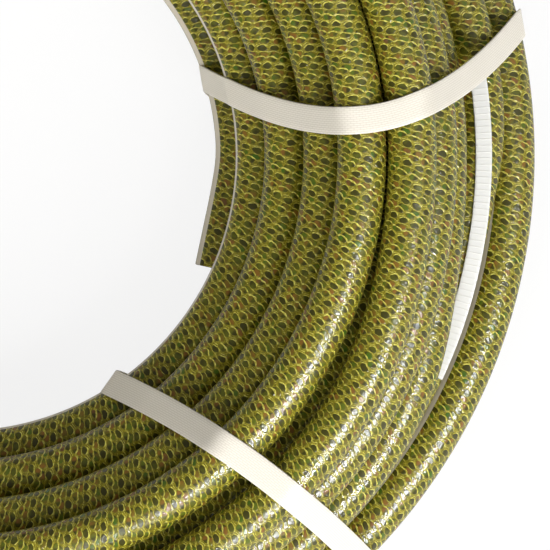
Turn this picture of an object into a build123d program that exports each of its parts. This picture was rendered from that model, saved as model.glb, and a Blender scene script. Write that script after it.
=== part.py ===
from build123d import *
import math
import os

# Coil of knit-reinforced garden hose, lying flat on z = 0, coil axis on +Z through the origin.
# One hose is wound in six flat rows, bottom row first, and held by six strapping bands.

# ---- hose section (half-inch garden hose) ----
BORE_R = 6.35
INNER_TUBE_R = 7.35
COLOUR_R = 7.75
KNIT_R = 8.10
HOSE_R = 9.00
STRIPE_DEPTH = 0.45
STRIPE_WIDTH_DEG = 27.0
# Where the stripe sits round the section: 90 is straight up, 180 is the side facing the coil axis.
STRIPE_AT_DEG = 157.0

# ---- strapping bands ----
BAND_WIDTH = 10.5
BAND_THICK = 0.8
BAND_GAP = 1.2
# Extra room where a band crosses the turns at a slant.
SLANT_ALLOWANCE = 0.6
WELD_TOP = 52.0
WELD_BOTTOM = 24.0

# ---- winding ----
ROW_PITCH = 18.5
BOTTOM_Z = BAND_THICK + BAND_GAP + SLANT_ALLOWANCE + HOSE_R
ROW_Z = [BOTTOM_Z + ROW_PITCH * k for k in range(6)]
# Radii of the turns of each row, in winding order. Rows 0, 2, 4 wind outwards, 1, 3, 5 inwards.
ROW_RADII = [
    [126.5, 145.0, 163.5, 182.0, 200.5],
    [209.0, 190.4, 171.8, 153.2, 134.6, 114.4],
    [113.5, 133.0, 152.6, 172.2, 198.0],
    [197.0, 163.2, 143.8, 124.5],
    [139.0, 159.5, 180.0],
    [177.0, 151.7],
]
# Longest arc of the jacket in each row; the rows that hold a free end take shorter ones.
JACKET_ARC_DEG = [30.0, 60.0, 60.0, 60.0, 60.0, 30.0]
# Rows that wind outwards step to their next turn between these two angles ...
STEP_OUT = (65.0, 135.0)
# ... the hose climbs to the next row between these ...
CLIMB = (135.0, 185.0)
# ... and rows that wind inwards step between these.
STEP_IN = (185.0, 255.0)
# Radius the hose swings out to before it climbs from rows 0, 2 and 4.
SWING_R = {0: 227.5, 2: 219.0, 4: 201.0}
# The outermost turn of the upper rows lies loose and wanders: angle and radius along that turn.
LOOSE_TURN = {
    2: [(285.0, 198.0), (310.0, 192.3), (347.0, 192.3), (368.0, 198.0)],
    3: [(320.0, 193.4), (360.0, 182.5)],
    4: [(320.0, 183.0), (360.0, 178.6)],
    5: [(320.0, 175.0), (360.0, 170.6)],
}

# ---- free ends ----
INNER_END_R = 106.5
INNER_ROOT_DEG = 4.0
INNER_ROOT_R = 105.8
INNER_BEND_DEG = -12.0
INNER_BEND_R = 104.5
OUTER_ROOT_DEG = 80.0
OUTER_BEND_DEG = 106.0
OUTER_BEND_R = 149.6
STRAIGHT_END = 22.0
CUT_GAP = 1.0


def polar(angle_deg, radius, z):
    angle = math.radians(angle_deg)
    return Vector(radius * math.cos(angle), radius * math.sin(angle), z)


def heading(angle_deg):
    angle = math.radians(angle_deg)
    return Vector(-math.sin(angle), math.cos(angle), 0)


def arc_piece(start, direction, end):
    """Arc that leaves start along direction and reaches end: (start, direction, centre, axis, angle)."""
    chord = end - start
    along = chord.dot(direction)
    side = chord - direction * along
    if side.length < 1e-7:
        return (start, direction, None, None, chord.length)
    radius = chord.length**2 / (2 * side.length)
    centre = start + side.normalized() * radius
    axis = direction.cross(side.normalized())
    return (start, direction, centre, axis, math.degrees(2 * math.atan2(side.length, along)))


def biarc(start, direction, end, end_direction):
    """Two arcs with a shared tangent that join two points with the given headings."""
    chord = end - start
    both = direction + end_direction
    spread = 2 * (1 - direction.dot(end_direction))
    if abs(spread) < 1e-12:
        reach = chord.length / 2
    else:
        root = math.sqrt(chord.dot(both) ** 2 + spread * chord.dot(chord))
        reach = (root - chord.dot(both)) / spread
    joint = (start + end + (direction - end_direction) * reach) * 0.5
    joint_direction = (joint - start).normalized()
    joint_direction = joint_direction * (2 * joint_direction.dot(direction)) - direction
    return [arc_piece(start, direction, joint), arc_piece(joint, joint_direction, end)]


def join(knots):
    """Chain of arcs through (angle, radius, z) knots, square to the radius at every knot."""
    pieces = []
    for (a0, r0, z0), (a1, r1, z1) in zip(knots, knots[1:]):
        start, end = polar(a0, r0, z0), polar(a1, r1, z1)
        if r0 == r1 and z0 == z1:
            pieces.append((start, heading(a0), Vector(0, 0, z0), Vector(0, 0, 1), a1 - a0))
        else:
            pieces.extend(biarc(start, heading(a0), end, heading(a1)))
    return pieces


def winding_rows():
    """Knots of the winding, one list per row, from the inner root to the outer root.

    A row runs to the knot where the hose arrives at the next row, which both lists share.
    """
    rows = []
    knots = [(INNER_ROOT_DEG, INNER_ROOT_R, ROW_Z[0]), (STEP_OUT[0], INNER_END_R, ROW_Z[0])]
    turn = 0.0
    for row, radii in enumerate(ROW_RADII):
        z = ROW_Z[row]
        outward = row % 2 == 0
        step = STEP_OUT if outward else STEP_IN
        loose_index = len(radii) - 1 if outward else 0
        for index, radius in enumerate(radii):
            if index > 0:
                knots.append((turn + step[0], knots[-1][1], z))
            arrives_at = step[1] if index > 0 or row == 0 else STEP_IN[1]
            knots.append((turn + arrives_at, radius, z))
            if index == loose_index:
                for angle, loose_radius in LOOSE_TURN.get(row, []):
                    knots.append((turn + angle, loose_radius, z))
            turn += 360.0
        if row == len(ROW_RADII) - 1:
            break
        if outward:
            knots.append((turn + STEP_OUT[0], knots[-1][1], z))
            knots.append((turn + STEP_OUT[1], SWING_R[row], z))
        else:
            knots.append((turn + CLIMB[0], knots[-1][1], z))
        knots.append((turn + CLIMB[1], knots[-1][1], ROW_Z[row + 1]))
        rows.append(knots)
        knots = knots[-1:]
    knots.append((turn + OUTER_ROOT_DEG, knots[-1][1], ROW_Z[-1]))
    rows.append(knots)
    return rows


# ---- hose sections ----
def circle_edges(plane, radius):
    return [Edge.make_circle(radius, plane)]


def sector_point(plane, radius, angle_deg):
    angle = math.radians(angle_deg)
    return plane.from_local_coords((radius * math.cos(angle), radius * math.sin(angle), 0))


def sector_edges(plane, outer, inner, start_deg, end_deg):
    """Closed loop of an annular sector that runs from start_deg to end_deg."""
    middle = (start_deg + end_deg) / 2
    outer_side = [sector_point(plane, outer, a) for a in (start_deg, middle, end_deg)]
    inner_side = [sector_point(plane, inner, a) for a in (end_deg, middle, start_deg)]
    return [
        Edge.make_three_point_arc(*outer_side),
        Edge.make_line(outer_side[-1], inner_side[0]),
        Edge.make_three_point_arc(*inner_side),
        Edge.make_line(inner_side[-1], outer_side[0]),
    ]


def grooved_edges(plane):
    """Outline of the clear jacket, with the groove that the stripe fills."""
    first = STRIPE_AT_DEG - STRIPE_WIDTH_DEG / 2
    last = STRIPE_AT_DEG + STRIPE_WIDTH_DEG / 2
    floor = HOSE_R - STRIPE_DEPTH
    around_deg = (last, (first + last + 360) / 2, first + 360)
    skin_side = [sector_point(plane, HOSE_R, a) for a in around_deg]
    groove_side = [sector_point(plane, floor, a) for a in (first, STRIPE_AT_DEG, last)]
    return [
        Edge.make_three_point_arc(*skin_side),
        Edge.make_line(skin_side[-1], groove_side[0]),
        Edge.make_three_point_arc(*groove_side),
        Edge.make_line(groove_side[-1], skin_side[0]),
    ]


def layer_loops(plane):
    """Outline loops of every hose layer in the section plane: outer loop first, then any bore."""
    first = STRIPE_AT_DEG - STRIPE_WIDTH_DEG / 2
    last = STRIPE_AT_DEG + STRIPE_WIDTH_DEG / 2
    return {
        "inner_tube": [circle_edges(plane, INNER_TUBE_R), circle_edges(plane, BORE_R)],
        "colour_layer": [circle_edges(plane, COLOUR_R), circle_edges(plane, INNER_TUBE_R)],
        "knit_yarn": [circle_edges(plane, KNIT_R), circle_edges(plane, COLOUR_R)],
        "jacket": [grooved_edges(plane), circle_edges(plane, KNIT_R)],
        "stripe": [sector_edges(plane, HOSE_R, HOSE_R - STRIPE_DEPTH, first, last)],
    }


def section_plane(angle_deg, centre):
    """Section across the hose: x points away from the coil axis, y points up."""
    return Plane(origin=centre, x_dir=polar(angle_deg, 1, 0), z_dir=heading(angle_deg) * -1)


def moved(edge, piece):
    start, direction, centre, axis, amount = piece
    if centre is None:
        return edge.translate(direction * amount)
    return edge.rotate(Axis(centre, axis), amount)


def swept(edge, piece):
    start, direction, centre, axis, amount = piece
    if centre is None:
        return Face.extrude(edge, direction * amount)
    return Face.revolve(edge, amount, Axis(centre, axis))


def cap(loops):
    return Face(Wire(loops[0]), [Wire(loop) for loop in loops[1:]])


def sweep_loops(loops, pieces):
    """Solid swept by the loops along the pieces, and the loops where they end up."""
    faces = [cap(loops)]
    for piece in pieces:
        faces.extend(swept(edge, piece) for loop in loops for edge in loop)
        loops = [[moved(edge, piece) for edge in loop] for loop in loops]
    faces.append(cap(loops))
    return Solid(Shell(faces)), loops


def short_runs(pieces, most_deg):
    """The pieces cut at even steps, so that none turns through more than most_deg."""
    runs = []
    for start, direction, centre, axis, amount in pieces:
        if centre is None:
            runs.append((start, direction, centre, axis, amount))
            continue
        count = math.ceil(amount / most_deg)
        turn_axis = Axis((0, 0, 0), axis)
        for index in range(count):
            turned = amount * index / count
            spoke = (start - centre).rotate(turn_axis, turned)
            way = direction.rotate(turn_axis, turned)
            runs.append((centre + spoke, way, centre, axis, amount / count))
    return runs


os.makedirs("parts", exist_ok=True)


def save(shape, name):
    export_step(shape, "parts/" + name + ".step")


# ---- coil ----
root = polar(INNER_ROOT_DEG, INNER_ROOT_R, ROW_Z[0])
coil_rows = [join(knots) for knots in winding_rows()]
coil_ends = {}
for layer, loops in layer_loops(section_plane(INNER_ROOT_DEG, root)).items():
    # The jacket is one part in the real hose; here it is short arcs that touch face to face, so that
    # each is nearly convex and the eye of the coil and both bores stay open for contact.
    if layer == "jacket":
        arcs = [short_runs(row, most) for row, most in zip(coil_rows, JACKET_ARC_DEG)]
        runs = [[arc] for arc in sum(arcs, [])]
    else:
        runs = [sum(coil_rows, [])]
    solids = []
    for run in runs:
        solid, loops = sweep_loops(loops, run)
        solids.append(solid)
    coil_ends[layer] = loops
    save(Compound(solids), "hose_" + layer)

# ---- inner free end, from its cut face to the root ----
bend = polar(INNER_BEND_DEG, INNER_BEND_R, ROW_Z[0])
inner_gap_deg = math.degrees(CUT_GAP / INNER_ROOT_R)
inner_cut = bend - heading(INNER_BEND_DEG) * STRAIGHT_END
inner_pieces = [arc_piece(inner_cut, heading(INNER_BEND_DEG), bend)]
inner_stop = (INNER_ROOT_DEG - inner_gap_deg, INNER_ROOT_R, ROW_Z[0])
inner_pieces += join([(INNER_BEND_DEG, INNER_BEND_R, ROW_Z[0]), inner_stop])
for layer, loops in layer_loops(section_plane(INNER_BEND_DEG, inner_cut)).items():
    solid, _ = sweep_loops(loops, inner_pieces)
    save(solid, "inner_end_" + layer)

# ---- outer free end, from its root to the cut face ----
outer_r = ROW_RADII[-1][-1]
outer_gap_deg = math.degrees(CUT_GAP / outer_r)
outer_bend = polar(OUTER_BEND_DEG, OUTER_BEND_R, ROW_Z[-1])
outer_tip = outer_bend + heading(OUTER_BEND_DEG) * STRAIGHT_END
outer_start = (OUTER_ROOT_DEG + outer_gap_deg, outer_r, ROW_Z[-1])
outer_pieces = join([outer_start, (OUTER_BEND_DEG, OUTER_BEND_R, ROW_Z[-1])])
outer_pieces.append(arc_piece(outer_bend, heading(OUTER_BEND_DEG), outer_tip))
for layer, loops in coil_ends.items():
    start_loops = [[edge.rotate(Axis.Z, outer_gap_deg) for edge in loop] for loop in loops]
    solid, _ = sweep_loops(start_loops, outer_pieces)
    save(solid, "outer_end_" + layer)

# ---- strapping bands ----
# A taut band lies in an upright plane: the point where it turns over the inner side of the bundle
# (angle, radius) and the compass direction in which it crosses the bundle.
TAUT_BANDS = {
    "strap_3": ((-110.0, 103.6), -110.0),
    "strap_4": ((190.0, 103.6), 190.0),
    "strap_5": ((132.0, 103.6), 132.0),
    "strap_6": ((69.0, 97.0), 69.0),
}
# A slack band bows, seen from above, along an arc through these points (angle, radius).
SLACK_BANDS = {
    "strap_1": [(13.9, 103.5), (4.7, 150.5), (12.0, 212.0)],
    "strap_2": [(-56.4, 103.6), (-46.5, 159.7), (-45.3, 218.0)],
}
# The free end of strap_1 lies on the outer turn of row 2, tucked in beside the loose turn of row 3.
FREE_END_WIDTH = 6.0
FREE_END_FROM_DEG = -24.0
FREE_END_TO_DEG = 8.0
FREE_END_LIFT = 0.5
# Half the plan width that a slack band's bow takes up.
SLACK_REACH = 24
SAMPLE_STEP = 4.0


def centre_line(pieces):
    """Points along the hose axis, about SAMPLE_STEP apart."""
    points = []
    for start, direction, centre, axis, amount in pieces:
        if centre is None:
            count = math.ceil(amount / SAMPLE_STEP)
            points.extend(start + direction * (amount * i / count) for i in range(count))
        else:
            spoke = start - centre
            count = math.ceil(math.radians(amount) * spoke.length / SAMPLE_STEP)
            turn_axis = Axis((0, 0, 0), axis)
            turned = [spoke.rotate(turn_axis, amount * i / count) for i in range(count)]
            points.extend(centre + step for step in turned)
    return points


def convex_outline(points):
    """Corners of the convex hull of 2-D points, anticlockwise."""
    points = sorted(set(points))

    def half(sequence):
        chain = []
        for point in sequence:
            while len(chain) > 1 and turns_right(chain[-2], chain[-1], point):
                chain.pop()
            chain.append(point)
        return chain[:-1]

    return half(points) + half(points[::-1])


def turns_right(a, b, c):
    return (b[0] - a[0]) * (c[1] - a[1]) - (b[1] - a[1]) * (c[0] - a[0]) <= 1e-6


def band_plane(inner_point, compass_deg):
    """Upright plane along the band: x crosses the bundle outwards, y points up."""
    angle = math.radians(compass_deg)
    across = Vector(math.cos(angle), math.sin(angle), 0)
    return Plane(origin=inner_point, x_dir=across, z_dir=across.cross(Vector(0, 0, 1)))


def band_ring(plane, points, reach, inner, outer):
    """Ring round every turn that passes within reach of the plane, between two offsets."""
    local = [plane.to_local_coords(point) for point in points]
    near = [(round(p.X, 2), round(p.Y, 2)) for p in local if abs(p.Z) < reach and p.X > -20]
    corners = Wire.make_polygon([(x, y, 0) for x, y in convex_outline(near)], close=True)
    outline = Face(corners.offset_2d(outer))
    hole = Face(corners.offset_2d(inner))
    ring = outline - hole
    return ring


def band(plane, points, reach, wide):
    """Band loop with a welded lap on the outer side of the bundle."""
    inner = HOSE_R + SLANT_ALLOWANCE + BAND_GAP
    ring = band_ring(plane, points, reach, inner, inner + BAND_THICK)
    lap = band_ring(plane, points, reach, inner + BAND_THICK / 2, inner + 2 * BAND_THICK)
    lap &= Pos(150, (WELD_TOP + WELD_BOTTOM) / 2) * Rectangle(100, WELD_TOP - WELD_BOTTOM)
    flat = ring + lap
    return extrude(plane * flat, wide / 2, both=True)


def slack_band(bow_points, points):
    """Band loop that follows a plan arc: a wide loop cut down to an upright ring wall along the arc."""
    plan = [polar(angle, radius, 0) for angle, radius in bow_points]
    chord = plan[2] - plan[0]
    bow = Edge.make_three_point_arc(*plan)
    plane = band_plane(plan[0], math.degrees(math.atan2(chord.Y, chord.X)))
    wide_band = band(plane, points, SLACK_REACH, 60)
    wall = Cylinder(bow.radius + BAND_WIDTH / 2, 400) - Cylinder(bow.radius - BAND_WIDTH / 2, 400)
    return wide_band & (Pos(bow.arc_center) * wall)


hose_points = centre_line(inner_pieces + sum(coil_rows, []) + outer_pieces)
for name, ((angle, radius), compass) in TAUT_BANDS.items():
    plane = band_plane(polar(angle, radius, 0), compass)
    save(band(plane, hose_points, BAND_WIDTH / 2 + 4, BAND_WIDTH), name)
for name, bow_points in SLACK_BANDS.items():
    save(slack_band(bow_points, hose_points), name)

carrier_r = ROW_RADII[2][-1]
free_end_z = ROW_Z[2] + HOSE_R + FREE_END_LIFT + BAND_THICK / 2
strip = Pos(carrier_r, free_end_z) * Rectangle(FREE_END_WIDTH, BAND_THICK)
free_end = revolve(Plane.XZ * strip, Axis.Z, FREE_END_TO_DEG - FREE_END_FROM_DEG)
save(free_end.rotate(Axis.Z, FREE_END_FROM_DEG), "strap_1_free_end")
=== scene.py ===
import math

import bpy
import numpy as np
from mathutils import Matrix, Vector


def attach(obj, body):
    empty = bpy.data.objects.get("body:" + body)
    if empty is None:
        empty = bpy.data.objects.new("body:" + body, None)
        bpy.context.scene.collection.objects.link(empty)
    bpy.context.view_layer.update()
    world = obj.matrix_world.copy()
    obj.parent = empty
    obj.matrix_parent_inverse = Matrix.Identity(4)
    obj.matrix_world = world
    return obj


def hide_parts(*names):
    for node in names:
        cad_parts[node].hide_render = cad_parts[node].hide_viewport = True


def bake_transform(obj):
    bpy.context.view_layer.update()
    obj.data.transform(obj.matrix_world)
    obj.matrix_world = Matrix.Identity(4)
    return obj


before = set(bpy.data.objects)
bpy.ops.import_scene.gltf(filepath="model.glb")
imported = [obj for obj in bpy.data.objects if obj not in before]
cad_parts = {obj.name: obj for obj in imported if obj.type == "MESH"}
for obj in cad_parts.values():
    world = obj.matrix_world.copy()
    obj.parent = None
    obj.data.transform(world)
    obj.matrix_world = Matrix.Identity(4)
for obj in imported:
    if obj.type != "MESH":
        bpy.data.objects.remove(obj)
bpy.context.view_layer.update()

MM = 0.001

# ---------------------------------------------------------------- hose, same winding as the CAD part
BORE_R = 6.35 * MM
INNER_TUBE_R = 7.35 * MM
COLOUR_R = 7.75 * MM
KNIT_R = 8.10 * MM
# The turns of the real coil touch, so the shown skin stands slightly proud of the CAD jacket.
SKIN_R = 9.15 * MM
CORNER_R = 0.6 * MM
STRIPE_AT_DEG = 157.0
STRIPE_WIDTH_DEG = 27.0

BAND_WIDTH = 10.5 * MM
BAND_THICK = 0.8 * MM
# How far the band's inner face stands off the axis of the turns it lies on.
BAND_REACH = 9.6 * MM

BOTTOM_Z = 11.6
ROW_PITCH = 18.5
ROW_Z = [BOTTOM_Z + ROW_PITCH * k for k in range(6)]
ROW_RADII = [
    [126.5, 145.0, 163.5, 182.0, 200.5],
    [209.0, 190.4, 171.8, 153.2, 134.6, 114.4],
    [113.5, 133.0, 152.6, 172.2, 198.0],
    [197.0, 163.2, 143.8, 124.5],
    [139.0, 159.5, 180.0],
    [177.0, 151.7],
]
STEP_OUT = (65.0, 135.0)
CLIMB = (135.0, 185.0)
STEP_IN = (185.0, 255.0)
SWING_R = {0: 227.5, 2: 219.0, 4: 201.0}
LOOSE_TURN = {
    2: [(285.0, 198.0), (310.0, 192.3), (347.0, 192.3), (368.0, 198.0)],
    3: [(320.0, 193.4), (360.0, 182.5)],
    4: [(320.0, 183.0), (360.0, 178.6)],
    5: [(320.0, 175.0), (360.0, 170.6)],
}
INNER_BEND = (-12.0, 104.5)
INNER_ROOT = (4.0, 105.8)
OUTER_ROOT_DEG = 80.0
OUTER_BEND = (106.0, 149.6)
STRAIGHT_END = 22.0
INNER_STEP_R = 106.5
TURNS = sum(len(radii) for radii in ROW_RADII)

# The hose lies with a slight twist, so its stripe rolls up or under on some turns: (winding angle, roll).
ROLL_DEG = [
    (-100, 0),
    (1750, 0),
    (2000, -20),
    (2250, -20),
    (2600, 0),
    (4700, 0),
    (5400, 14),
    (6900, 14),
    (7150, 9),
    (7400, 14),
    (9300, 14),
]

RING_STEP = 3.0 * MM
RING_SIDES = 40


def polar(angle_deg, radius_mm, z_mm):
    """Point in metres from a compass angle, a radius and a height."""
    angle = math.radians(angle_deg)
    return np.array([radius_mm * math.cos(angle), radius_mm * math.sin(angle), z_mm]) * MM


def heading(angle_deg):
    """Direction in which the hose runs at an angle, anticlockwise and level."""
    angle = math.radians(angle_deg)
    return np.array([-math.sin(angle), math.cos(angle), 0.0])


def unit(v):
    return v / np.linalg.norm(v)


def spin(v, axis, angle):
    """v turned about a unit axis through the origin, angle in radians."""
    c, s = math.cos(angle), math.sin(angle)
    return v * c + np.cross(axis, v) * s + axis * np.dot(axis, v) * (1 - c)


def arc_piece(start, direction, end):
    """(start, direction, centre, axis, amount); a straight piece has no centre and a length for amount."""
    chord = end - start
    along = float(np.dot(chord, direction))
    side = chord - direction * along
    if np.linalg.norm(side) < 1e-10:
        return (start, direction, None, None, float(np.linalg.norm(chord)))
    reach = np.linalg.norm(side)
    centre = start + unit(side) * np.dot(chord, chord) / (2 * reach)
    return (start, direction, centre, np.cross(direction, unit(side)), 2 * math.atan2(reach, along))


def biarc(start, direction, end, end_direction):
    """Two arcs that meet smoothly and join two points with the given directions."""
    chord = end - start
    both = direction + end_direction
    spread = 2 * (1 - np.dot(direction, end_direction))
    along = np.dot(chord, both)
    reach = (-along + math.sqrt(along**2 + spread * np.dot(chord, chord))) / spread
    joint = (start + end + (direction - end_direction) * reach) * 0.5
    to_joint = unit(joint - start)
    joint_direction = to_joint * (2 * np.dot(to_joint, direction)) - direction
    return [arc_piece(start, direction, joint), arc_piece(joint, joint_direction, end)]


def winding_knots():
    """(angle, radius, height) of the winding, from the inner root to the outer root."""
    knots = [INNER_ROOT + (ROW_Z[0],), (STEP_OUT[0], INNER_STEP_R, ROW_Z[0])]
    turn = 0.0
    for row, radii in enumerate(ROW_RADII):
        z = ROW_Z[row]
        outward = row % 2 == 0
        step = STEP_OUT if outward else STEP_IN
        loose_index = len(radii) - 1 if outward else 0
        for index, radius in enumerate(radii):
            if index > 0:
                knots.append((turn + step[0], knots[-1][1], z))
            arrives_at = step[1] if index > 0 or row == 0 else STEP_IN[1]
            knots.append((turn + arrives_at, radius, z))
            if index == loose_index:
                for angle, loose_radius in LOOSE_TURN.get(row, []):
                    knots.append((turn + angle, loose_radius, z))
            turn += 360.0
        if row == len(ROW_RADII) - 1:
            break
        if outward:
            knots.append((turn + STEP_OUT[0], knots[-1][1], z))
            knots.append((turn + STEP_OUT[1], SWING_R[row], z))
        else:
            knots.append((turn + CLIMB[0], knots[-1][1], z))
        knots.append((turn + CLIMB[1], knots[-1][1], ROW_Z[row + 1]))
    knots.append((turn + OUTER_ROOT_DEG, knots[-1][1], ROW_Z[-1]))
    knots.append((turn + OUTER_BEND[0], OUTER_BEND[1], ROW_Z[-1]))
    return knots


def hose_pieces():
    """Every arc and straight of the hose, each with the winding angle where it starts and ends."""
    knots = [INNER_BEND + (ROW_Z[0],)] + winding_knots()
    bend = polar(*knots[0])
    cut = bend - heading(INNER_BEND[0]) * STRAIGHT_END * MM
    pieces = [(arc_piece(cut, heading(INNER_BEND[0]), bend), INNER_BEND[0], INNER_BEND[0])]
    for (a0, r0, z0), (a1, r1, z1) in zip(knots, knots[1:]):
        start, end = polar(a0, r0, z0), polar(a1, r1, z1)
        if r0 == r1 and z0 == z1:
            centre = np.array([0, 0, z0 * MM])
            whole = (start, heading(a0), centre, np.array([0, 0, 1.0]), math.radians(a1 - a0))
            pieces.append((whole, a0, a1))
        else:
            middle = (a0 + a1) / 2
            first, second = biarc(start, heading(a0), end, heading(a1))
            pieces += [(first, a0, middle), (second, middle, a1)]
    end_angle = knots[-1][0]
    bend = polar(*knots[-1])
    tip = bend + heading(end_angle) * STRAIGHT_END * MM
    pieces.append((arc_piece(bend, heading(end_angle), tip), end_angle, end_angle))
    return pieces


def sample_hose():
    """Rings along the hose: point, tangent, outward direction, length so far and winding angle."""
    side = np.array([math.cos(math.radians(INNER_BEND[0])), math.sin(math.radians(INNER_BEND[0])), 0])
    rings = []
    length = 0.0
    for (start, direction, centre, axis, amount), a0, a1 in hose_pieces():
        size = amount if centre is None else amount * np.linalg.norm(start - centre)
        count = max(2, math.ceil(size / RING_STEP))
        for i in range(count):
            share = i / count
            if centre is None:
                rings.append((start + direction * size * share, direction, side, length + size * share, a0))
            else:
                turn = amount * share
                point = centre + spin(start - centre, axis, turn)
                angle = a0 + (a1 - a0) * share
                tangent = spin(direction, axis, turn)
                outward = spin(side, axis, turn)
                rings.append((point, tangent, outward, length + size * share, angle))
        if centre is not None:
            side = spin(side, axis, amount)
        length += size
    rings.append((start + direction * size, direction, side, length, a1))
    return rings


# ---------------------------------------------------------------- mesh helpers
def new_mesh(name, verts, faces, uvs, material, smooth=True):
    """Mesh object; uvs holds one list of corner coordinates per face."""
    mesh = bpy.data.meshes.new(name)
    mesh.from_pydata([tuple(v) for v in verts], [], faces)
    layer = mesh.uv_layers.new(name="UVMap")
    layer.data.foreach_set("uv", [c for face in uvs for corner in face for c in corner])
    mesh.materials.append(material)
    mesh.polygons.foreach_set("use_smooth", [smooth] * len(mesh.polygons))
    mesh.update()
    obj = bpy.data.objects.new(name, mesh)
    bpy.context.scene.collection.objects.link(obj)
    return obj


def ring_points(ring, radius):
    """Points of a circle round the hose, the first one on its outward side."""
    point, tangent, side, _, _ = ring
    up = np.cross(side, tangent)
    angles = np.linspace(0, 2 * math.pi, RING_SIDES, endpoint=False)
    return point + radius * (np.outer(np.cos(angles), side) + np.outer(np.sin(angles), up))


def tube(name, stations, material):
    """Tube through (ring, radius) stations, with u the length along the hose and v the turn round it."""
    verts = np.concatenate([ring_points(ring, radius) for ring, radius in stations])
    faces = []
    uvs = []
    angles, rolls = zip(*ROLL_DEG)
    for i in range(len(stations) - 1):
        here, there = stations[i][0], stations[i + 1][0]
        u0, u1 = here[3], there[3]
        roll0, roll1 = np.interp((here[4], there[4]), angles, rolls) / -360
        for j in range(RING_SIDES):
            k = (j + 1) % RING_SIDES
            low, high = i * RING_SIDES, (i + 1) * RING_SIDES
            faces.append((low + j, low + k, high + k, high + j))
            v0, v1 = j / RING_SIDES, (j + 1) / RING_SIDES
            uvs.append(((u0, v0 + roll0), (u0, v1 + roll0), (u1, v1 + roll1), (u1, v0 + roll1)))
    return new_mesh(name, verts, faces, uvs, material)


def shifted(ring, distance):
    """The ring moved straight along the hose."""
    point, tangent, side, length, angle = ring
    return (point + tangent * distance, tangent, side, length + distance, angle)


# ---------------------------------------------------------------- node helpers
class Graph:
    """Thin wrapper that makes node maths readable."""

    def __init__(self, name):
        self.material = bpy.data.materials.new(name)
        self.material.use_nodes = True
        self.tree = self.material.node_tree
        self.tree.nodes.clear()
        self.output = self.node("ShaderNodeOutputMaterial")

    def node(self, kind, **settings):
        made = self.tree.nodes.new(kind)
        for key, value in settings.items():
            setattr(made, key, value)
        return made

    def put(self, socket, value):
        if isinstance(value, bpy.types.NodeSocket):
            self.tree.links.new(value, socket)
        else:
            socket.default_value = value

    def math(self, operation, *values):
        made = self.node("ShaderNodeMath", operation=operation)
        for socket, value in zip(made.inputs, values):
            self.put(socket, value)
        return made.outputs[0]

    def add(self, a, b):
        return self.math("ADD", a, b)

    def sub(self, a, b):
        return self.math("SUBTRACT", a, b)

    def mul(self, a, b):
        return self.math("MULTIPLY", a, b)

    def step(self, value, low, high):
        """0 below low, 1 above high, smooth between."""
        made = self.node("ShaderNodeMapRange", interpolation_type="SMOOTHSTEP")
        self.put(made.inputs["Value"], value)
        made.inputs["From Min"].default_value = low
        made.inputs["From Max"].default_value = high
        return made.outputs["Result"]

    def mix(self, share, a, b):
        made = self.node("ShaderNodeMix", data_type="RGBA")
        self.put(made.inputs[0], share)
        self.put(made.inputs[6], a)
        self.put(made.inputs[7], b)
        return made.outputs[2]

    def mix_value(self, share, a, b):
        made = self.node("ShaderNodeMix", data_type="FLOAT")
        for socket, value in zip((made.inputs[0], made.inputs[2], made.inputs[3]), (share, a, b)):
            self.put(socket, value)
        return made.outputs[0]

    def vector(self, x, y, z=0.0):
        made = self.node("ShaderNodeCombineXYZ")
        for socket, value in zip(made.inputs, (x, y, z)):
            self.put(socket, value)
        return made.outputs[0]

    def uv(self):
        split = self.node("ShaderNodeSeparateXYZ")
        self.put(split.inputs[0], self.node("ShaderNodeUVMap", uv_map="UVMap").outputs[0])
        return split.outputs[0], split.outputs[1]

    def noise(self, vector, scale, detail=2.0):
        made = self.node("ShaderNodeTexNoise")
        self.put(made.inputs["Vector"], vector)
        made.inputs["Scale"].default_value = scale
        made.inputs["Detail"].default_value = detail
        return made.outputs["Fac"]

    def ramp(self, value, stops):
        made = self.node("ShaderNodeValToRGB")
        elements = made.color_ramp.elements
        while len(elements) < len(stops):
            elements.new(0.5)
        for element, (place, colour) in zip(elements, stops):
            element.position = place
            element.color = colour
        self.put(made.inputs[0], value)
        return made.outputs[0]

    def bump(self, height, strength, distance):
        made = self.node("ShaderNodeBump")
        self.put(made.inputs["Height"], height)
        made.inputs["Strength"].default_value = strength
        made.inputs["Distance"].default_value = distance
        return made.outputs[0]

    def surface(self, **values):
        shader = self.node("ShaderNodeBsdfPrincipled")
        for key, value in values.items():
            self.put(shader.inputs[key.replace("_", " ")], value)
        self.put(self.output.inputs["Surface"], shader.outputs[0])
        return self.material


# ---------------------------------------------------------------- materials
# The knit repeats along the hose and round it; each turn round shifts it along by whole repeats.
KNIT_ROUND = 13
KNIT_PITCH = 7.2 * MM
KNIT_SHIFT = 3
KNIT_STEP = 2 * math.pi * SKIN_R / KNIT_ROUND
KNIT_TILT_DEG = 15.0
# The three openings of one repeat: place round and along, in repeats, and half sizes round and along.
DARK_OPENING = (0.0, 0.0, 1.40 * MM, 0.86 * MM)
HALF_OPENING = (-0.498, 0.40, 1.38 * MM, 0.80 * MM)
TINT_OPENING = (0.158, -0.37, 1.55 * MM, 0.80 * MM)
THREAD = (0.42, 0.355, 0.026, 1)
# Painted glint: a lighter thread colour, laid on the threads at random spots.
THREAD_GLINT = (0.86, 0.80, 0.15, 1)
THREAD_SHADE = (0.115, 0.100, 0.004, 1)
THREAD_GROUND = (0.300, 0.260, 0.014, 1)
HOLE = (0.046, 0.042, 0.002, 1)
HOLE_LIT = (0.095, 0.100, 0.005, 1)
# Colours of the tinted openings, from green through olive to orange and brown.
TINTS = [
    (0.30, (0.050, 0.115, 0.005, 1)),
    (0.42, (0.105, 0.125, 0.006, 1)),
    (0.52, (0.150, 0.110, 0.008, 1)),
    (0.62, (0.230, 0.105, 0.012, 1)),
    (0.72, (0.135, 0.065, 0.016, 1)),
]
STRIPE_COLOUR = (0.64, 0.58, 0.47, 1)
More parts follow.
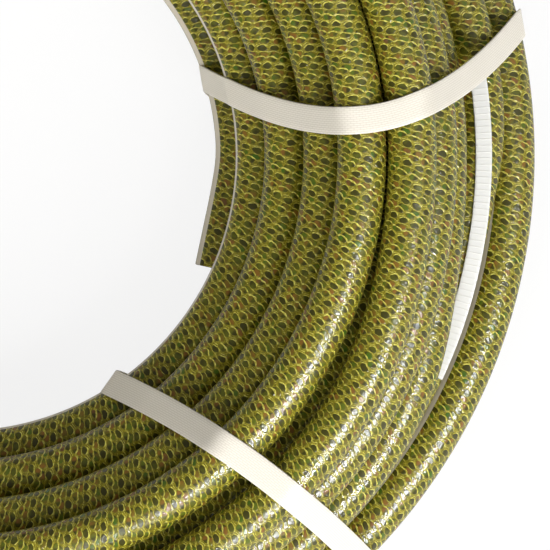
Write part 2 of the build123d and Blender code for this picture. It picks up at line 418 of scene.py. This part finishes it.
# How far the knit wanders round and along the hose, in repeats.
SWAY_ROUND = 0.34
SWAY_ALONG = 0.26
# An opening ends at its own reach, or where the next one comes this near; both in half sizes.
OPENING_REACH = 1.30
OPENING_GAP = 0.34
# Painted highlight: a lit thread edge drawn along the upper rim of the dark and half openings; its reach
# and half width, in half sizes.
LIT_RIM_REACH = 1.38
LIT_RIM_WIDTH = 0.26
LOOSE_MARK_PITCH = 2.4 * MM


def line(g, distance, half_width):
    """1 on a line, fading to 0 over its half width; distance is from the line's middle."""
    return g.sub(1.0, g.step(g.math("ABSOLUTE", distance), half_width * 0.25, half_width))


def nearest_opening(g, around, along, opening):
    """Distance to the nearest opening of one kind, in half sizes, and the place across and along it."""
    turn_place, length_place, half_round, half_along = opening
    round_gap = g.sub(around, turn_place)
    round_gap = g.sub(round_gap, g.math("ROUND", round_gap))
    length_gap = g.add(g.sub(along, length_place), g.mul(round_gap, KNIT_SHIFT / KNIT_ROUND))
    length_gap = g.sub(length_gap, g.math("ROUND", length_gap))
    side = g.mul(round_gap, KNIT_STEP)
    up = g.mul(length_gap, KNIT_PITCH)
    tilt = math.radians(KNIT_TILT_DEG)
    x = g.mul(g.add(g.mul(side, math.cos(tilt)), g.mul(up, math.sin(tilt))), 1 / half_round)
    y = g.mul(g.sub(g.mul(up, math.cos(tilt)), g.mul(side, math.sin(tilt))), 1 / half_along)
    return g.math("SQRT", g.add(g.mul(x, x), g.mul(y, y))), x, y


def knit_material():
    """Clear glossy skin over a knitted net, with dark and tinted openings and the plain stripe; the threads
    carry painted glints, and a painted lit edge on the upper rim of the dark and half openings.
    """
    g = Graph("knit_skin")
    u, v = g.uv()
    turn = g.mul(v, 2 * math.pi)
    place = g.vector(g.mul(g.math("COSINE", turn), SKIN_R), g.mul(g.math("SINE", turn), SKIN_R), u)
    sway_round = g.mul(g.sub(g.noise(place, 210.0, 1.0), 0.5), SWAY_ROUND)
    sway_along = g.mul(g.sub(g.noise(place, 290.0, 1.0), 0.5), SWAY_ALONG)
    around = g.add(g.mul(v, float(KNIT_ROUND)), sway_round)
    along = g.add(g.sub(g.mul(u, 1 / KNIT_PITCH), g.mul(v, float(KNIT_SHIFT))), sway_along)

    dark, _, dark_y = nearest_opening(g, around, along, DARK_OPENING)
    half, half_x, half_y = nearest_opening(g, around, along, HALF_OPENING)
    tinted, tinted_x, _ = nearest_opening(g, around, along, TINT_OPENING)
    near = g.math("MINIMUM", g.math("MINIMUM", dark, half), tinted)
    far = g.math("MAXIMUM", g.math("MAXIMUM", dark, half), tinted)
    second = g.sub(g.sub(g.add(g.add(dark, half), tinted), near), far)
    apart = g.sub(second, near)

    inside = g.math("MINIMUM", g.sub(apart, OPENING_GAP), g.sub(OPENING_REACH, near))
    open_mask = g.step(inside, -0.04, 0.16)
    is_dark = g.math("LESS_THAN", dark, g.math("MINIMUM", half, tinted))
    is_half = g.math("LESS_THAN", half, g.math("MINIMUM", dark, tinted))

    tint = g.ramp(g.noise(place, 130.0, 2.0), TINTS)
    hole = g.mix(g.step(g.noise(place, 240.0, 1.0), 0.45, 0.68), HOLE, HOLE_LIT)
    half_fill = g.mix(g.step(half_x, -0.35, 0.35), hole, tint)
    tint_fill = g.mix(g.step(tinted_x, 0.25, 0.85), tint, hole)
    fill = g.mix(is_half, g.mix(is_dark, tint_fill, hole), half_fill)

    fibre = g.noise(place, 1500.0, 3.0)
    ground = g.mix(g.step(fibre, 0.30, 0.70), THREAD_SHADE, THREAD_GROUND)
    net = g.sub(1.0, g.step(apart, 0.06, 0.32))
    # Painted highlight: a thread line on the upper rim only of the dark and half openings, as a lit edge.
    dark_lit_rim = g.mul(line(g, g.sub(dark, LIT_RIM_REACH), LIT_RIM_WIDTH), g.step(dark_y, 0.1, 0.8))
    half_lit_rim = g.mul(line(g, g.sub(half, LIT_RIM_REACH), LIT_RIM_WIDTH), g.step(half_y, 0.1, 0.8))
    lit_rim = g.math("MAXIMUM", dark_lit_rim, half_lit_rim)
    threads = g.math("MAXIMUM", g.mul(net, 0.80), lit_rim)
    # Random spots where the threads get the painted glint colour; the same spots also ripple the clear
    # coat.
    glint_and_ripple = g.noise(place, 900.0, 2.0)
    lit_thread = g.mix(g.step(glint_and_ripple, 0.36, 0.66), THREAD, THREAD_GLINT)

    colour = g.mix(open_mask, ground, fill)
    colour = g.mix(threads, colour, lit_thread)

    offset = g.math("ABSOLUTE", g.sub(v, STRIPE_AT_DEG / 360))
    half_stripe = STRIPE_WIDTH_DEG / 720
    stripe = g.sub(1.0, g.step(offset, half_stripe - 0.002, half_stripe + 0.002))
    colour = g.mix(stripe, colour, STRIPE_COLOUR)

    relief = g.add(g.sub(1.0, open_mask), g.mul(threads, 0.5))
    relief = g.mix_value(stripe, relief, 1.0)
    ripple = g.mix_value(stripe, g.add(relief, g.mul(glint_and_ripple, 1.8)), 1.8)
    return g.surface(
        Base_Color=colour,
        Roughness=0.55,
        Specular_IOR_Level=0.12,
        Normal=g.bump(relief, 0.6, 0.30 * MM),
        Coat_Weight=0.50,
        Coat_Roughness=0.06,
        Coat_Normal=g.bump(ripple, 0.80, 0.19 * MM),
    )


def plain_material(name, colour, roughness, speckle=0.12, scale=700.0):
    """Plastic with a faint uneven tone and surface."""
    g = Graph(name)
    place = g.node("ShaderNodeTexCoord").outputs["Object"]
    tone = g.noise(place, scale, 3.0)
    dark = tuple(c * (1 - speckle) for c in colour[:3]) + (1,)
    light = tuple(min(1, c * (1 + speckle)) for c in colour[:3]) + (1,)
    return g.surface(
        Base_Color=g.mix(tone, dark, light),
        Roughness=roughness,
        Normal=g.bump(tone, 0.25, 0.05 * MM),
    )


def band_material():
    """White woven strapping: ribs along the band, broken into short staggered dashes, with painted shade in
    the low grooves between them.
    """
    g = Graph("strapping")
    u, v = g.uv()
    ribs = g.mul(v, 13.0)
    row = g.math("FLOOR", ribs)
    stagger = g.mul(g.math("MODULO", row, 2.0), 0.5)
    dash = g.add(g.mul(u, 1 / (2.2 * MM)), stagger)
    rib_edge = g.math("ABSOLUTE", g.sub(g.math("FRACT", ribs), 0.5))
    dash_edge = g.math("ABSOLUTE", g.sub(g.math("FRACT", dash), 0.5))
    rib_height = g.sub(1.0, g.step(rib_edge, 0.22, 0.5))
    dash_height = g.sub(1.0, g.step(dash_edge, 0.30, 0.5))
    height = g.mul(rib_height, g.add(0.45, g.mul(dash_height, 0.55)))
    fuzz = g.noise(g.vector(g.mul(u, 1500.0), g.mul(v, 60.0)), 1.0, 3.0)
    height = g.add(height, g.mul(fuzz, 0.25))
    # Darker where the band is low: painted shade in the grooves between ribs and dashes, plus the strap's
    # own random tone from the fuzz.
    colour = g.mix(height, (0.66, 0.60, 0.50, 1), (0.85, 0.80, 0.70, 1))
    return g.surface(
        Base_Color=colour,
        Roughness=0.38,
        Normal=g.bump(height, 0.30, 0.12 * MM),
        Specular_IOR_Level=0.2,
        Sheen_Weight=0.15,
    )


def loose_end_material():
    """The bright smooth back of the strapping, with faint pressed-in marks across it, painted darker as
    shade in the marks.
    """
    g = Graph("strapping_back")
    u, v = g.uv()
    mark = g.math("ABSOLUTE", g.sub(g.math("FRACT", g.mul(u, 1 / LOOSE_MARK_PITCH)), 0.5))
    fuzz = g.noise(g.vector(g.mul(u, 900.0), g.mul(v, 12.0)), 1.0, 3.0)
    height = g.add(g.step(mark, 0.02, 0.16), g.mul(fuzz, 0.3))
    # Darker where the surface is low: painted shade in the pressed-in marks, plus the strap's own random
    # tone from the fuzz.
    return g.surface(
        Base_Color=g.mix(height, (0.76, 0.75, 0.72, 1), (0.82, 0.82, 0.80, 1)),
        Roughness=0.42,
        Specular_IOR_Level=0.2,
        Normal=g.bump(height, 0.5, 0.16 * MM),
    )


knit = knit_material()
strapping = band_material()
strapping_back = loose_end_material()
yarn_cut = plain_material("yarn_cut", (0.62, 0.56, 0.12, 1), 0.7, 0.5, 2600.0)
colour_cut = plain_material("colour_cut", (0.14, 0.19, 0.03, 1), 0.4)
tube_cut = plain_material("tube_cut", (0.030, 0.033, 0.018, 1), 0.38)

# ---------------------------------------------------------------- hose pieces
# Winding angles where the wound part starts and ends, and angles beyond both ends of the hose.
FIRST_SEAM_DEG = 26.0
LAST_SEAM_DEG = TURNS * 360.0 + 60.0
BEFORE_START_DEG = -100.0
PAST_END_DEG = 1e6
# At a cut the skin turns over in these shares of a quarter circle and runs a little way inside.
CORNER_SHARES = (0.0, 0.3, 0.6, 0.85, 1.0)
SKIN_INSIDE = 3 * MM
LAYER_DEPTH = 30 * MM
LAYER_LIP = 0.12 * MM
# The layers seen at a cut end: piece name, outer and inner radius, material and CAD layer.
CUT_LAYERS = [
    ("yarn", KNIT_R, COLOUR_R, yarn_cut, "knit_yarn"),
    ("ground", COLOUR_R, INNER_TUBE_R, colour_cut, "colour_layer"),
    ("tube", INNER_TUBE_R, BORE_R, tube_cut, "inner_tube"),
]
rings = sample_hose()


def between(low, high):
    """Rings whose winding angle lies in the span, with one shared ring at each end."""
    angles = np.array([ring[4] for ring in rings])
    first = int(np.searchsorted(angles, low, side="left"))
    last = int(np.searchsorted(angles, high, side="left"))
    return rings[max(first, 0) : min(last, len(rings) - 1) + 1]


def cut_lip(ring, inward):
    """Stations that round the skin over at a cut face and take it down to the yarn."""
    corner = []
    for share in CORNER_SHARES:
        angle = share * math.pi / 2
        back = CORNER_R * (1 - math.sin(angle)) * inward
        corner.append((shifted(ring, back), SKIN_R - CORNER_R * (1 - math.cos(angle))))
    corner.append((ring, KNIT_R))
    corner.append((shifted(ring, inward * SKIN_INSIDE), KNIT_R))
    return corner


def hose_turns():
    """The wound part of the hose, one piece per turn."""
    seams = [FIRST_SEAM_DEG + 360.0 * k for k in range(TURNS)] + [LAST_SEAM_DEG]
    made = []
    for number, (low, high) in enumerate(zip(seams, seams[1:]), start=1):
        stations = [(ring, SKIN_R) for ring in between(low, high)]
        turn = tube(f"hose_turn_{number:02d}", stations, knit)
        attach(turn, "coil")
        made.append(turn)
    return made


def sleeve(name, ring, inward, outer, inner, material, body, node):
    """One layer of the hose wall at a cut end."""
    far = shifted(ring, inward * LAYER_DEPTH)
    behind = shifted(ring, inward * LAYER_LIP)
    stations = [(far, outer), (behind, outer), (ring, outer - LAYER_LIP), (ring, inner + LAYER_LIP)]
    stations += [(behind, inner), (far, inner), (far, outer)]
    piece = tube(name, stations, material)
    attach(piece, body)
    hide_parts(node)


def hose_end(body, low, high, at_start):
    """A free end of the hose: a skin that bends at its root, and the layers seen at the cut."""
    span = between(low, high)
    tip = span[0] if at_start else span[-1]
    inward = 1 if at_start else -1
    stations = [(ring, SKIN_R) for ring in span]
    lip = cut_lip(tip, inward)
    stations = lip[::-1] + stations[1:] if at_start else stations[:-1] + lip
    skin = tube(f"{body}_skin", stations, knit)
    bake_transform(skin)
    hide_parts(f"{body}_jacket", f"{body}_stripe")
    for part, outer, inner, material, layer in CUT_LAYERS:
        sleeve(f"{body}_{part}", tip, inward, outer, inner, material, body, f"{body}_{layer}")


turns = hose_turns()
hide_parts("hose_jacket", "hose_stripe", "hose_knit_yarn", "hose_colour_layer", "hose_inner_tube")
hose_end("inner_end", BEFORE_START_DEG, FIRST_SEAM_DEG, True)
hose_end("outer_end", LAST_SEAM_DEG, PAST_END_DEG, False)

# ---------------------------------------------------------------- strapping bands
# Plan of each band: three points (angle, radius) that it passes over, from inside to outside.
BANDS = {
    "strap_1": [(13.9, 103.5), (4.7, 150.5), (12.0, 212.0)],
    "strap_2": [(-56.4, 103.6), (-46.5, 159.7), (-45.3, 218.0)],
    "strap_3": [(-110.0, 103.6), (-110.0, 160.0), (-110.0, 218.0)],
    "strap_4": [(190.0, 103.6), (190.0, 160.0), (190.0, 218.0)],
    "strap_5": [(132.0, 103.6), (132.0, 160.0), (132.0, 218.0)],
    "strap_6": [(69.0, 97.0), (69.0, 160.0), (69.0, 218.0)],
}
BAND_RING_STEP = 2.0 * MM
# A band lies on the turns that pass this near its edges, and over this stretch of its plan line.
BAND_SIDE_ROOM = 2 * MM
BAND_STRETCH = (-20 * MM, 160 * MM)
hose_axis = np.array([ring[0] for ring in rings])


def convex_outline(points):
    """Corners of the convex polygon round the points, anticlockwise."""
    points = sorted(set((round(x, 5), round(y, 5)) for x, y in points))

    def chain(sequence):
        kept = []
        for p in sequence:
            while len(kept) > 1:
                (ax, ay), (bx, by) = kept[-2], kept[-1]
                if (bx - ax) * (p[1] - ay) - (by - ay) * (p[0] - ax) > 1e-12:
                    break
                kept.pop()
            kept.append(p)
        return kept[:-1]

    return np.array(chain(points) + chain(points[::-1]))


def rounded_outline(corners, offset, spacing):
    """Closed outline at a distance from a convex polygon, evenly resampled, with outward normals."""
    path = []
    count = len(corners)
    for i in range(count):
        before = corners[i] - corners[i - 1]
        after = corners[(i + 1) % count] - corners[i]
        a0 = math.atan2(-before[0], before[1])
        a1 = math.atan2(-after[0], after[1])
        turn = (a1 - a0) % (2 * math.pi)
        for share in np.linspace(0, 1, 2 + int(turn / 0.12)):
            angle = a0 + turn * share
            normal = np.array([math.cos(angle), math.sin(angle)])
            path.append(np.concatenate([corners[i] + normal * offset, normal]))
    path = np.array(path + path[:1])
    lengths = np.concatenate([[0], np.cumsum(np.linalg.norm(np.diff(path[:, :2], axis=0), axis=1))])
    total = lengths[-1]
    at = np.linspace(0, total, max(8, int(total / spacing)), endpoint=False)
    even = np.stack([np.interp(at, lengths, path[:, k]) for k in range(4)], axis=1)
    even[:, 2:] /= np.linalg.norm(even[:, 2:], axis=1)[:, None]
    return even, at, total


def bow_offset(points):
    """Sideways offset as a parabola through the middle point, in the band's own plan axes."""
    start, middle, end = [polar(angle, radius, 0)[:2] for angle, radius in points]
    across = unit(end - start)
    side = np.array([-across[1], across[0]])
    x1, y1 = np.dot(middle - start, across), np.dot(middle - start, side)
    x2 = np.dot(end - start, across)
    bend = y1 / (x1 * (x1 - x2))
    return start, across, side, lambda x: bend * x * (x - x2)


def band_section(width, thick):
    """Section of the band with rounded edges: (across, out) pairs, anticlockwise."""
    half, lip = width / 2, thick / 2
    edge = [(lip * math.cos(a), lip * math.sin(a)) for a in np.linspace(-math.pi / 2, math.pi / 2, 5)]
    right = [(half - lip + x, lip + y) for x, y in edge]
    left = [(-half + lip - x, lip - y) for x, y in edge]
    inner = [(half * (k / 3 - 1) * 0.9, 0.0) for k in (1, 2, 3, 4, 5)]
    outer = [(-x, thick) for x, _ in inner]
    return inner + right + outer + left


def band(name):
    """A band pulled tight round the turns that it crosses."""
    start, across, side, offset_at = bow_offset(BANDS[name])
    local = hose_axis[:, :2] - start
    x = local @ across
    lateral = local @ side - np.array([offset_at(value) for value in x])
    near = np.abs(lateral) < BAND_WIDTH / 2 + BAND_SIDE_ROOM
    near &= (x > BAND_STRETCH[0]) & (x < BAND_STRETCH[1])
    corners = convex_outline(zip(x[near], hose_axis[near, 2]))
    outline, at, total = rounded_outline(corners, BAND_REACH, BAND_RING_STEP)
    section = band_section(BAND_WIDTH, BAND_THICK)
    points = []
    for px, pz in outline[:, :2]:
        plan = start + across * px + side * offset_at(px)
        points.append((plan[0], plan[1], pz))
    points = np.array(points)
    tangents = np.roll(points, -1, axis=0) - np.roll(points, 1, axis=0)
    verts = []
    for (nx, nz), point, tangent in zip(outline[:, 2:], points, tangents):
        out = np.array([across[0] * nx, across[1] * nx, nz])
        along = unit(tangent)
        out = unit(out - along * np.dot(out, along))
        wide = np.cross(out, along)
        for a, b in section:
            verts.append(point + wide * a + out * b)
    rows, columns = len(outline), len(section)
    widths = [(a / BAND_WIDTH) + 0.5 for a, _ in section]
    faces = []
    uvs = []
    for i in range(rows):
        k = (i + 1) % rows
        u0 = at[i]
        u1 = at[k] if k else total
        for j in range(columns):
            m = (j + 1) % columns
            faces.append((i * columns + j, i * columns + m, k * columns + m, k * columns + j))
            uvs.append(((u0, widths[j]), (u0, widths[m]), (u1, widths[m]), (u1, widths[j])))
    piece = new_mesh(f"{name}_band", verts, faces, uvs, strapping)
    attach(piece, name)
    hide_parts(name)


for band_name in BANDS:
    band(band_name)

LOOSE_WIDTH = 6.2 * MM
LOOSE_R = 198.2
# Height of its underside over the axis of the turn it lies on.
LOOSE_LIFT = 9.5
LOOSE_FROM_DEG = 9.0
LOOSE_TO_DEG = -25.0
LOOSE_STATIONS = 70


def free_end():
    """Loose end of the first band, lying on a turn of the third row and tucked under the row above."""
    section = band_section(LOOSE_WIDTH, BAND_THICK)
    verts = []
    angles = np.linspace(LOOSE_FROM_DEG, LOOSE_TO_DEG, LOOSE_STATIONS)
    out = np.array([0, 0, 1.0])
    for angle in angles:
        point = polar(angle, LOOSE_R, ROW_Z[2] + LOOSE_LIFT)
        wide = np.array([math.cos(math.radians(angle)), math.sin(math.radians(angle)), 0])
        verts += [point + wide * a + out * b for a, b in section]
    columns = len(section)
    widths = [(a / LOOSE_WIDTH) * 0.6 + 0.5 for a, _ in section]
    lengths = np.radians(LOOSE_FROM_DEG - angles) * LOOSE_R * MM
    faces = []
    uvs = []
    for i in range(len(angles) - 1):
        for j in range(columns):
            m = (j + 1) % columns
            faces.append((i * columns + j, (i + 1) * columns + j, (i + 1) * columns + m, i * columns + m))
            u0, u1 = lengths[i], lengths[i + 1]
            uvs.append(((u0, widths[j]), (u1, widths[j]), (u1, widths[m]), (u0, widths[m])))
    last = (len(angles) - 1) * columns
    faces.append(tuple(range(columns)))
    uvs.append(tuple((0, w) for w in widths))
    faces.append(tuple(last + j for j in reversed(range(columns))))
    uvs.append(tuple((0, w) for w in widths))
    piece = new_mesh("strap_1_loose_end", verts, faces, uvs, strapping_back)
    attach(piece, "strap_1")
    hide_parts("strap_1_free_end")


free_end()

# ---------------------------------------------------------------- stage
def floor_material():
    """Pale paper, shown to the camera as evenly lit as a light table."""
    g = Graph("floor")
    grain = g.noise(g.node("ShaderNodeTexCoord").outputs["Object"], 40.0, 3.0)
    paper = g.node("ShaderNodeBsdfPrincipled")
    g.put(paper.inputs["Base Color"], g.mix(grain, (0.88, 0.88, 0.87, 1), (0.92, 0.92, 0.91, 1)))
    paper.inputs["Roughness"].default_value = 0.9
    glow = g.node("ShaderNodeEmission")
    glow.inputs["Strength"].default_value = 1.0
    both = g.node("ShaderNodeMixShader")
    seen = g.mul(g.node("ShaderNodeLightPath").outputs["Is Camera Ray"], 0.85)
    for socket, value in zip(both.inputs, (seen, paper.outputs[0], glow.outputs[0])):
        g.put(socket, value)
    g.put(g.output.inputs["Surface"], both.outputs[0])
    return g.material


FLOOR_HALF = 3
floor_corners = [(FLOOR_HALF * x, FLOOR_HALF * y, 0) for x, y in ((-1, -1), (1, -1), (1, 1), (-1, 1))]
floor_uvs = [((0, 0), (1, 0), (1, 1), (0, 1))]
floor = new_mesh("floor", floor_corners, [(0, 1, 2, 3)], floor_uvs, floor_material(), smooth=False)


def area_light(name, location, target, size, power):
    """White rectangular lamp aimed at a point; metres and watts."""
    data = bpy.data.lights.new(name, "AREA")
    data.shape = "RECTANGLE"
    data.size, data.size_y = size
    data.energy = power
    light = bpy.data.objects.new(name, data)
    light.location = location
    light.rotation_euler = (Vector(target) - Vector(location)).to_track_quat("-Z", "Y").to_euler()
    bpy.context.scene.collection.objects.link(light)
    return light


area_light("key", (0.95, -1.15, 1.60), (0.1, -0.05, 0.05), (1.2, 1.2), 41)
# A narrow lamp seen only in reflections, for the broken white glints on the skin.
glint = area_light("glint", (1.20, -0.95, 1.60), (0.1, -0.05, 0.05), (0.90, 0.30), 105)
glint.visible_diffuse = False
area_light("fill", (0.9, 0.9, 1.3), (0.0, 0.0, 0.05), (1.2, 1.2), 3)
area_light("side", (-0.7, -1.2, 1.4), (0.0, 0.0, 0.05), (1.2, 1.2), 19)

world = bpy.data.worlds.new("studio")
world.use_nodes = True
world.node_tree.nodes["Background"].inputs["Color"].default_value = (1, 1, 1, 1)
world.node_tree.nodes["Background"].inputs["Strength"].default_value = 0.25
bpy.context.scene.world = world
bpy.context.scene.view_settings.view_transform = "Standard"

# ---------------------------------------------------------------- camera
# The camera looks straight down the coil axis at one quarter of the coil, with +Y up in the image.
VIEW_CENTRE = (119.25 * MM, -45.4 * MM)
VIEW_SPAN = 206.25 * MM
CAMERA_HEIGHT = 4.0
FACE_HEIGHT = 0.09
SENSOR_WIDTH_MM = 36.0
camera_data = bpy.data.cameras.new("camera")
camera_data.sensor_width = SENSOR_WIDTH_MM
camera_data.lens = SENSOR_WIDTH_MM * (CAMERA_HEIGHT - FACE_HEIGHT) / VIEW_SPAN
camera_data.clip_end = 20.0
camera = bpy.data.objects.new("camera", camera_data)
camera.location = (VIEW_CENTRE[0], VIEW_CENTRE[1], CAMERA_HEIGHT)
bpy.context.scene.collection.objects.link(camera)
bpy.context.scene.camera = camera
